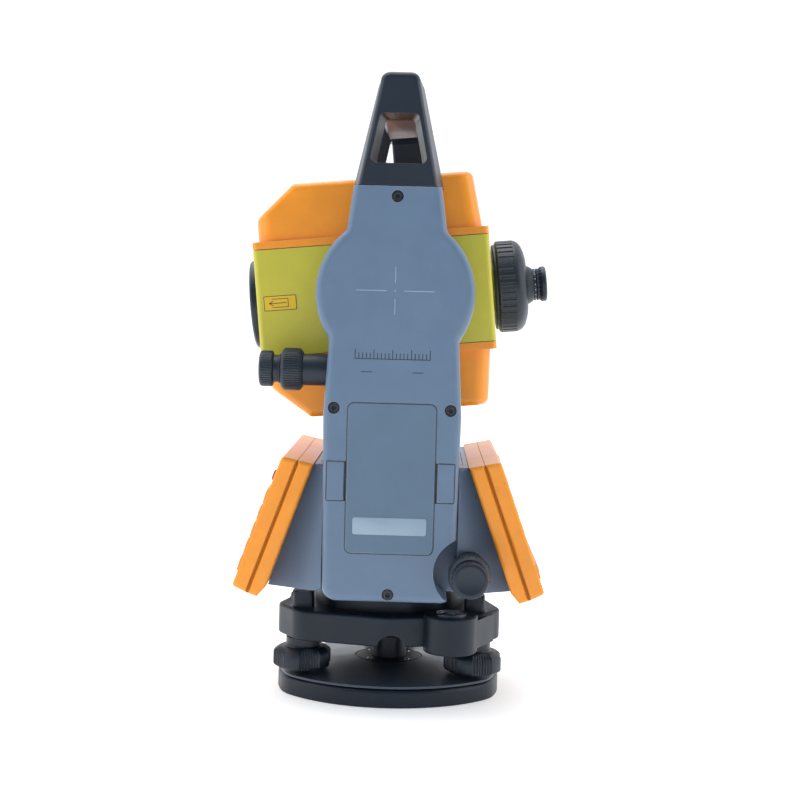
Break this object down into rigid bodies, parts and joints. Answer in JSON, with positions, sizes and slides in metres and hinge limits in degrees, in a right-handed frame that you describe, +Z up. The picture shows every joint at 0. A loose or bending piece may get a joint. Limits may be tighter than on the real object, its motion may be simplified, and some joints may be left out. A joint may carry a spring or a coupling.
{
  "type": "surveying total station",
  "caption": "Surveying total station: three-screw levelling base, rotating two-standard alidade with keyboards, battery and drives, and a telescope that turns over its trunnion under a handle.",
  "frame": {"origin": "centre of the tripod thread in the underside of the base plate, on the vertical axis", "axes": "+Z up along the vertical axis; +X towards the telescope eyepiece; -Y towards the standard that holds the battery; +Y completes the right-handed frame"},
  "size_m": [0.1789, 0.1996, 0.3548],
  "materials": {
    "black_paint": "satin black enamel",
    "spring_steel": "black oxide",
    "black_plastic": "fine moulded texture",
    "black_anodised": "black anodised",
    "brass": "turned",
    "steel": "ground",
    "dark_steel": "black oxide",
    "bare_aluminium": "fine turned",
    "grey_casing": "blue-grey satin paint",
    "battery_plastic": "satin moulded",
    "battery_shell": "moulded",
    "orange_plastic": "satin moulded",
    "yellow_casing": "yellow-green satin paint",
    "optical_glass": "polished and coated",
    "display_pane": "clear pane over a liquid crystal display",
    "key_rubber": "moulded silicone",
    "red_key": "moulded",
    "port_rubber": "moulded",
    "circuit": "solder mask"
  },
  "bodies": {
    "base": {"base_plate": "black_paint", "spring_plate": "spring_steel"},
    "foot_left": {"foot_screw_left": "black_plastic"},
    "foot_right": {"foot_screw_right": "black_plastic"},
    "foot_rear": {"foot_screw_rear": "black_plastic"},
    "head": {"tribrach_body": "black_paint", "foot_screw_caps": "black_plastic", "foot_screw_bushes": "brass", "circular_level_glass": "optical_glass", "instrument_base": "bare_aluminium", "axis_bush": "brass"},
    "lock_ring": {"lock_ring": "brass"},
    "lock_knob": {"lock_knob": "black_plastic"},
    "alidade": {"axis_spindle": "steel", "horizontal_circle": "optical_glass", "alidade_base": "grey_casing", "alidade_deck": "grey_casing", "plate_level_vial": "optical_glass", "main_board": "circuit", "near_standard_frame": "grey_casing", "far_standard_frame": "grey_casing", "near_standard_cover": "grey_casing", "far_standard_cover": "grey_casing", "casing_screws": "dark_steel", "trunnion_bearings": "brass", "vertical_drive_sleeve": "black_plastic", "horizontal_drive_sleeve": "black_plastic", "carrying_handle": "black_plastic", "handle_screws": "dark_steel", "keyboard_left_front": "orange_plastic", "keyboard_left_back": "orange_plastic", "display_left": "display_pane", "keypad_left": "key_rubber", "keyboard_right_front": "orange_plastic", "keyboard_right_back": "orange_plastic", "display_right": "display_pane", "keypad_right": "key_rubber"},
    "power_key_left": {"power_key_left": "red_key"},
    "power_key_right": {"power_key_right": "red_key"},
    "port_cover": {"port_cover": "port_rubber"},
    "battery": {"battery_cover": "battery_plastic", "battery_case": "battery_shell"},
    "battery_latch_left": {"battery_latch_left": "grey_casing"},
    "battery_latch_right": {"battery_latch_right": "grey_casing"},
    "vertical_clamp": {"vertical_clamp_ring": "black_plastic"},
    "vertical_tangent": {"vertical_tangent_knob": "black_plastic"},
    "horizontal_clamp": {"horizontal_clamp_ring": "black_plastic"},
    "horizontal_tangent": {"horizontal_tangent_knob": "black_plastic"},
    "telescope": {"telescope_body": "yellow_casing", "telescope_top_cover": "orange_plastic", "telescope_bottom_cover": "orange_plastic", "objective_barrel": "black_anodised", "objective_lens": "optical_glass", "eyepiece_lens": "optical_glass", "optical_sight": "black_anodised", "trunnion_axles": "steel", "vertical_circle": "optical_glass"},
    "focus_ring": {"focus_ring": "black_anodised"},
    "focusing_lens": {"focusing_lens": "optical_glass"},
    "eyepiece_ring": {"eyepiece_ring": "black_anodised"}
  },
  "joints": [
    {"name": "head_lift", "type": "slide", "parent": "base", "child": "head", "axis": [0, 0, 1], "range_m": [-0.003, 0.003]},
    {"name": "foot_left_turn", "type": "hinge", "parent": "base", "child": "foot_left", "pos_m": [-0.05023, -0.029, 0.02], "axis": [0, 0, 1], "range_deg": [-1080, 1080]},
    {"name": "foot_right_turn", "type": "hinge", "parent": "base", "child": "foot_right", "pos_m": [0.05023, -0.029, 0.02], "axis": [0, 0, 1], "range_deg": [-1080, 1080]},
    {"name": "foot_rear_turn", "type": "hinge", "parent": "base", "child": "foot_rear", "pos_m": [0, 0.058, 0.02], "axis": [0, 0, 1], "range_deg": [-1080, 1080]},
    {"name": "lock_knob_turn", "type": "hinge", "parent": "head", "child": "lock_knob", "pos_m": [0, 0, 0.042], "axis": [-0.866, 0.5, 0], "range_deg": [0, 180]},
    {"name": "lock_ring_turn", "type": "hinge", "parent": "head", "child": "lock_ring", "pos_m": [0, 0, 0.042], "axis": [0, 0, 1], "range_deg": [0, 30]},
    {"name": "alidade_turn", "type": "hinge", "parent": "head", "child": "alidade", "pos_m": [0, 0, 0.06], "axis": [0, 0, 1], "continuous": true},
    {"name": "telescope_tilt", "type": "hinge", "parent": "alidade", "child": "telescope", "pos_m": [0, 0, 0.235], "axis": [0, -1, 0], "continuous": true},
    {"name": "focus_turn", "type": "hinge", "parent": "telescope", "child": "focus_ring", "pos_m": [0, 0, 0.235], "axis": [0.9952, 0, 0.0976], "range_deg": [-150, 150]},
    {"name": "focusing_slide", "type": "slide", "parent": "telescope", "child": "focusing_lens", "axis": [0.9952, 0, 0.0976], "range_m": [-0.008, 0.008]},
    {"name": "eyepiece_turn", "type": "hinge", "parent": "telescope", "child": "eyepiece_ring", "pos_m": [0, 0, 0.235], "axis": [0.9952, 0, 0.0976], "range_deg": [-150, 150]},
    {"name": "vertical_clamp_turn", "type": "hinge", "parent": "alidade", "child": "vertical_clamp", "pos_m": [-0.06, -0.068, 0.1917], "axis": [-1, 0, 0], "range_deg": [0, 90]},
    {"name": "vertical_tangent_turn", "type": "hinge", "parent": "alidade", "child": "vertical_tangent", "pos_m": [-0.06, -0.068, 0.1917], "axis": [-1, 0, 0], "range_deg": [-1080, 1080]},
    {"name": "horizontal_clamp_turn", "type": "hinge", "parent": "alidade", "child": "horizontal_clamp", "pos_m": [0.0447, -0.09, 0.0822], "axis": [0, -1, 0], "range_deg": [0, 90]},
    {"name": "horizontal_tangent_turn", "type": "hinge", "parent": "alidade", "child": "horizontal_tangent", "pos_m": [0.0447, -0.09, 0.0822], "axis": [0, -1, 0], "range_deg": [-1080, 1080]},
    {"name": "battery_slide", "type": "slide", "parent": "alidade", "child": "battery", "axis": [0, -1, 0], "range_m": [0, 0.045]},
    {"name": "latch_left_press", "type": "slide", "parent": "battery", "child": "battery_latch_left", "axis": [0, 1, 0], "range_m": [0, 0.002], "stiffness_N_per_m": 900},
    {"name": "latch_right_press", "type": "slide", "parent": "battery", "child": "battery_latch_right", "axis": [0, 1, 0], "range_m": [0, 0.002], "stiffness_N_per_m": 900},
    {"name": "power_left_press", "type": "slide", "parent": "alidade", "child": "power_key_left", "axis": [0.9403, 0, -0.3404], "range_m": [0, 0.0012], "stiffness_N_per_m": 700},
    {"name": "power_right_press", "type": "slide", "parent": "alidade", "child": "power_key_right", "axis": [-0.9403, 0, -0.3404], "range_m": [0, 0.0012], "stiffness_N_per_m": 700},
    {"name": "port_cover_open", "type": "hinge", "parent": "alidade", "child": "port_cover", "pos_m": [0, 0.0865, 0.0855], "axis": [-1, 0, 0], "range_deg": [0, 90]}
  ],
  "couplings": [
    {"joint": "foot_left_turn", "follows": "head_lift", "rad_per_m": -6283.2},
    {"joint": "foot_right_turn", "follows": "head_lift", "rad_per_m": -6283.2},
    {"joint": "foot_rear_turn", "follows": "head_lift", "rad_per_m": -6283.2},
    {"joint": "lock_ring_turn", "follows": "lock_knob_turn", "ratio": 0.16667},
    {"joint": "focusing_slide", "follows": "focus_turn", "m_per_rad": 0.0030558}
  ]
}
